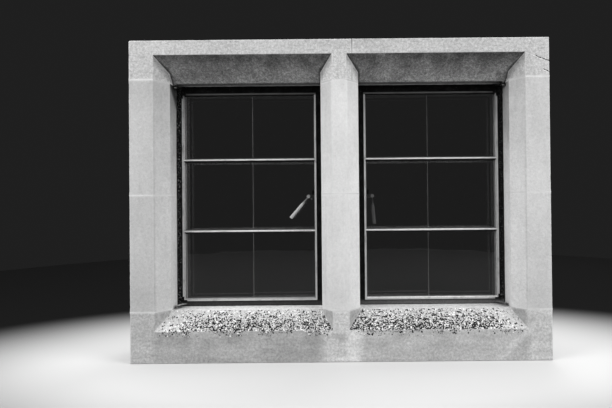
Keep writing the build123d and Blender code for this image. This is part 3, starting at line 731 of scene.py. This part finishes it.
def along(axis):
    return Vector([float(i == axis) for i in range(3)])


def cut_grid(bm, low, high):
    """Cuts the mesh by planes a grid step apart along each axis."""
    for axis in range(3):
        count = max(1, round((high[axis] - low[axis]) / GRID))
        for i in range(1, count):
            point = low + (high - low) * (i / count)
            geometry = bm.verts[:] + bm.edges[:] + bm.faces[:]
            bmesh.ops.bisect_plane(bm, geom=geometry, dist=SAME_POINT, plane_co=point, plane_no=along(axis))


def slopes_up(normal):
    """Whether a normal is that of the sill's slopes."""
    return 0.3 < normal.z < 0.9


def reach(faces, axis):
    """The least and the greatest coordinate of some faces along an axis."""
    places = [v.co[axis] for face in faces for v in face.verts]
    return min(places), max(places)


def cut_slopes(bm, low, high):
    """Halves the grid's cells on the sill's slopes along X and Y, for the roughness of the lichen."""
    sliver = 2e-6
    for axis in (0, 1):
        count = round((high[axis] - low[axis]) / GRID)
        slopes = [f for f in bm.faces if slopes_up(f.normal) and f.calc_area() > sliver]
        bottom, top = reach(slopes, axis)
        for i in range(count):
            point = low + (high - low) * ((i + 0.5) / count)
            if not bottom < point[axis] < top:
                continue
            across = [f for f in slopes if reach([f], axis)[0] < point[axis] < reach([f], axis)[1]]
            edges = list(dict.fromkeys(e for f in across for e in f.edges))
            verts = list(dict.fromkeys(v for e in edges for v in e.verts))
            made = bmesh.ops.bisect_plane(
                bm, geom=verts + edges + across, dist=SAME_POINT, plane_co=point, plane_no=along(axis)
            )
            slopes += [piece for piece in made["geom"] if isinstance(piece, bmesh.types.BMFace)]
            slopes = [f for f in dict.fromkeys(slopes) if f.is_valid]


def sharpness(vertex):
    """0 on a flat face and 1 on a rounded arris."""
    angle = max((e.calc_face_angle(0.0) for e in vertex.link_edges if e.is_manifold), default=0.0)
    return min(1.0, max(0.0, (angle - math.radians(8)) / math.radians(14)))


def clear_of_joints(place):
    """0 within 2 mm of a mortar joint, where stone and mortar stay flush, and 1 further than 12 mm away."""
    away = min(abs(place.z - z) for z in BED_HEIGHTS)
    if place.z > LIGHT_TOP - 0.02:
        away = min([away] + [abs(place.x - x) for x in JOINT_X])
    return min(1.0, max(0.0, (away - 0.002) / 0.010))


def wear_of(place, seed):
    """How deep the wear at an arris is: a slight waver everywhere, and a chip here and there."""
    p = place + Vector((seed * 3.7, seed * 1.3, seed * 2.1))
    waver = ARRIS_WAVER * (1.0 + noise.noise(p * 45.0))
    chip = max(0.0, noise.noise(p * 27.0) - 0.42) * CHIP_DEPTH * (0.6 + 0.4 * noise.noise(p * 160.0))
    return waver + chip


def wear_away(bm, seed, has_lichen):
    """Sinks the faces a little unevenly and the arrises by their wear, and marks the arrises."""
    arris = bm.verts.layers.float.new("arris")
    moves = {}
    for v in bm.verts:
        edge = sharpness(v)
        v[arris] = edge
        p = v.co + Vector((seed, 0.0, 0.0))
        depth = FACE_WAVER * (1.0 + noise.noise(p * 17.0)) + edge * wear_of(v.co, seed)
        depth *= clear_of_joints(v.co)
        if has_lichen and slopes_up(v.normal):
            depth += LICHEN_RELIEF * (1.0 + noise.noise(p * 210.0))
        moves[v] = v.normal * -depth
    for v, move in moves.items():
        v.co += move


# Two cracks at the right end of the head: the widest width of each, and its X and Z from end to end
CRACKS = {
    "head_right": (
        (
            0.0011,
            (
                (0.7640, 1.1975), (0.7760, 1.1938), (0.7850, 1.1872),
                (0.7990, 1.1838), (0.8120, 1.1770), (0.8290, 1.1735),
            ),
        ),
        (
            0.0010,
            ((0.8020, 1.1420), (0.8110, 1.1368), (0.8190, 1.1342), (0.8290, 1.1270)),
        ),
    ),
}
CRACK_DEPTH = 0.007


def open_crack(obj, width, path):
    """Cuts a crack into the outside face of a stone, closed at its first point and widening along it."""
    last = len(path) - 1
    half = [width * 0.5 * min(1.0, 2.0 * i / last) for i in range(len(path))]
    outline = [(x, z + h) for (x, z), h in zip(path, half)]
    outline += [(x, z - h) for (x, z), h in list(zip(path, half))[:0:-1]]
    bm = bmesh.new()
    front = bm.faces.new([bm.verts.new((x, FACE_Y - 0.003, z)) for x, z in outline])
    made = bmesh.ops.extrude_face_region(bm, geom=[front])["geom"]
    for piece in made:
        if isinstance(piece, bmesh.types.BMVert):
            piece.co.y = FACE_Y + CRACK_DEPTH
    bmesh.ops.recalc_face_normals(bm, faces=bm.faces)
    cutter = new_object("crack", new_mesh("crack", bm))
    cut = obj.modifiers.new("crack", "BOOLEAN")
    cut.object = cutter
    cut.operation = "DIFFERENCE"
    cut.solver = "EXACT"
    apply_modifiers(obj)
    bpy.data.objects.remove(cutter)


def dress_stone(node, material, seed):
    """A stone as it stands: rounded and chipped arrises, and faces that aren't quite flat."""
    obj = round_arrises(whole_faces(node), "stone_" + node)
    for width, path in CRACKS.get(node, ()):
        open_crack(obj, width, path)
    low, high = box(node)
    bm = bmesh.new()
    bm.from_mesh(obj.data)
    cut_grid(bm, low, high)
    has_lichen = node == "sill"
    if has_lichen:
        cut_slopes(bm, low, high)
    bm.normal_update()
    wear_away(bm, seed, has_lichen)
    for face in bm.faces:
        face.smooth = True
    bm.to_mesh(obj.data)
    bm.free()
    keep = obj.modifiers.new("flat_faces", "WEIGHTED_NORMAL")
    keep.mode = "FACE_AREA"
    keep.weight = 60
    paint(obj, material)
    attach(obj, "surround")
    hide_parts(node)


STONES = {
    "sill": "sill",
    "head_left": "head",
    "head_right": "head",
    "jamb_left_lower": "jamb",
    "jamb_left_upper": "jamb",
    "jamb_right_lower": "jamb",
    "jamb_right_upper": "jamb",
    "mullion_lower": "mullion",
    "mullion_upper": "mullion",
}
for number, (node, material) in enumerate(STONES.items()):
    dress_stone(node, material, number + 1)


# Carried-over pieces

def soften(node, width):
    """Rounds the edges of a CAD node as it is shown."""
    obj = NODES[node]
    weld = obj.modifiers.new("weld", "WELD")
    weld.merge_threshold = SAME_POINT
    bevel = obj.modifiers.new("edges", "BEVEL")
    bevel.width = width
    bevel.segments = 2
    bevel.limit_method = "ANGLE"
    bevel.angle_limit = math.radians(35)
    bevel.use_clamp_overlap = True


for node in ("mortar_lower_beds", "mortar_middle_beds", "mortar_head_beds"):
    paint(NODES[node], "mortar")
paint(NODES["mortar_head_joint"], "joint")

# The material of each piece of a light, and how far its edges are rounded
CARRIED = {
    "fixed_frame": ("black_paint", 0.0005),
    "frame_bedding": ("pointing", None),
    "frame_lugs": ("hinge_steel", None),
    "casement_frame": ("pale_paint", 0.0006),
    "glazing_bar_lower": ("bar_paint_lit", 0.0005),
    "glazing_bar_upper": ("bar_paint_lit", 0.0005),
    "putty": ("putty", None),
    "hinge_pins": ("zinc_steel", 0.0004),
    "hinge_bracket_bottom": ("hinge_paint", 0.0004),
    "hinge_bracket_top": ("hinge_paint", 0.0004),
    "hinge_arm_bottom": ("hinge_paint", 0.0004),
    "hinge_arm_top": ("hinge_paint", 0.0004),
    "handle_plate": ("worn_plate", 0.0005),
    "handle_pivot": ("worn_plate", None),
    "handle_lever": ("handle_metal", None),
    "striker_plate": ("black_paint", 0.0004),
    "striker_screws": ("black_paint", None),
    "sliding_track": ("track_metal", 0.0004),
    "sliding_pane_front": ("inner_glass", 0.0003),
    "sliding_pane_back": ("inner_glass_back", 0.0003),
    "glass_bottom": ("window_glass", None),
    "glass_middle": ("window_glass", None),
    "glass_top": ("window_glass", None),
}
for side in SIDES:
    for stem, (material, edge) in CARRIED.items():
        node = f"{stem}_{side}"
        paint(NODES[node], material)
        if edge:
            soften(node, edge)


# Floor, lights and camera

BACKDROP = 0.014
SKY = 1.05
FLOOR_RADIUS = 4.0
FLOOR_STRETCH = 1.9
FLOOR_FADE = (0.50, 1.04)
LAMP_TARGET = Vector((0.0, 0.0, 0.6))

# The place, the size and the power of each lamp
LAMPS = {
    "key_left": ((-2.7, -1.6, 2.3), 1.8, 80.0),
    "key_right": ((2.7, -1.6, 2.3), 1.8, 80.0),
    "back_fill": ((1.2, 3.0, 3.0), 2.4, 60.0),
}


def floor_surface():
    """Pale floor that fades into the dark backdrop, and gives little light back to the undersides."""
    m = Shader(bpy.data.materials.new("floor"))
    flattened = m.stretched((1.0 / FLOOR_STRETCH, 1.0, 1.0))
    away = m.node("VectorMath", {0: flattened}, 1, operation="LENGTH")
    seen = m.mix(m.span(away, *FLOOR_FADE), 0.62, BACKDROP * 0.65)
    rays = m.node("LightPath").node.outputs
    looked_at = m.math("MAXIMUM", rays["Is Camera Ray"], rays["Is Transmission Ray"])
    return m.surface(m.mix(looked_at, 0.20, seen), 0.9, Specular_IOR_Level=0.1)


def make_floor():
    bm = bmesh.new()
    bmesh.ops.create_circle(bm, cap_ends=True, segments=96, radius=FLOOR_RADIUS)
    floor = new_object("floor", new_mesh("floor", bm))
    floor.data.materials.append(floor_surface())


def light_world():
    """An overcast sky, brightest overhead, and a plain dark backdrop wherever it is looked at."""
    world = bpy.data.worlds.new("studio")
    bpy.context.scene.world = world
    m = Shader(world)
    sky = m.node("Background", {1: m.span(m.split(m.direction)[2], -0.05, 0.55, 0.10, SKY)})
    plain = m.node("Background", {0: m.grey(BACKDROP)})
    rays = m.node("LightPath").node.outputs
    looked_at = m.math("MAXIMUM", rays["Is Camera Ray"], rays["Is Glossy Ray"])
    looked_at = m.math("MAXIMUM", looked_at, rays["Is Transmission Ray"])
    m.finish(m.node("MixShader", {0: looked_at, 1: sky, 2: plain}), "World")


def soft_light(name, place, size, power):
    """A square lamp that points at the window. It lights it, and isn't seen in the glass."""
    light = bpy.data.lights.new(name, "AREA")
    light.shape = "SQUARE"
    light.size = size
    light.energy = power
    lamp = new_object(name, light)
    lamp.location = place
    lamp.rotation_euler = (LAMP_TARGET - Vector(place)).to_track_quat("-Z", "Y").to_euler()
    lamp.visible_camera = False
    lamp.visible_glossy = False
    lamp.visible_transmission = False


# The camera looks a little up and stands a little rolled, and its lens is shifted, as in the photograph
CAMERA_PLACE = (0.0128, -1.9796, 0.6383)
CAMERA_TILT = 0.49
CAMERA_ROLL = 0.53
CAMERA_LENS = 28.0
CAMERA_SHIFT = (-0.0612, -0.0150)
SENSOR_WIDTH = 36.0
NEAREST_SEEN = 0.05


def make_camera():
    data = bpy.data.cameras.new("camera")
    data.lens = CAMERA_LENS
    data.sensor_width = SENSOR_WIDTH
    data.shift_x, data.shift_y = CAMERA_SHIFT
    data.clip_start = NEAREST_SEEN
    camera = new_object("camera", data)
    camera.location = CAMERA_PLACE
    camera.rotation_euler = (math.radians(90 + CAMERA_TILT), math.radians(CAMERA_ROLL), 0.0)
    bpy.context.scene.camera = camera


make_floor()
light_world()
for name, (place, size, power) in LAMPS.items():
    soft_light(name, place, size, power)
make_camera()
bpy.context.scene.view_settings.view_transform = "Standard"
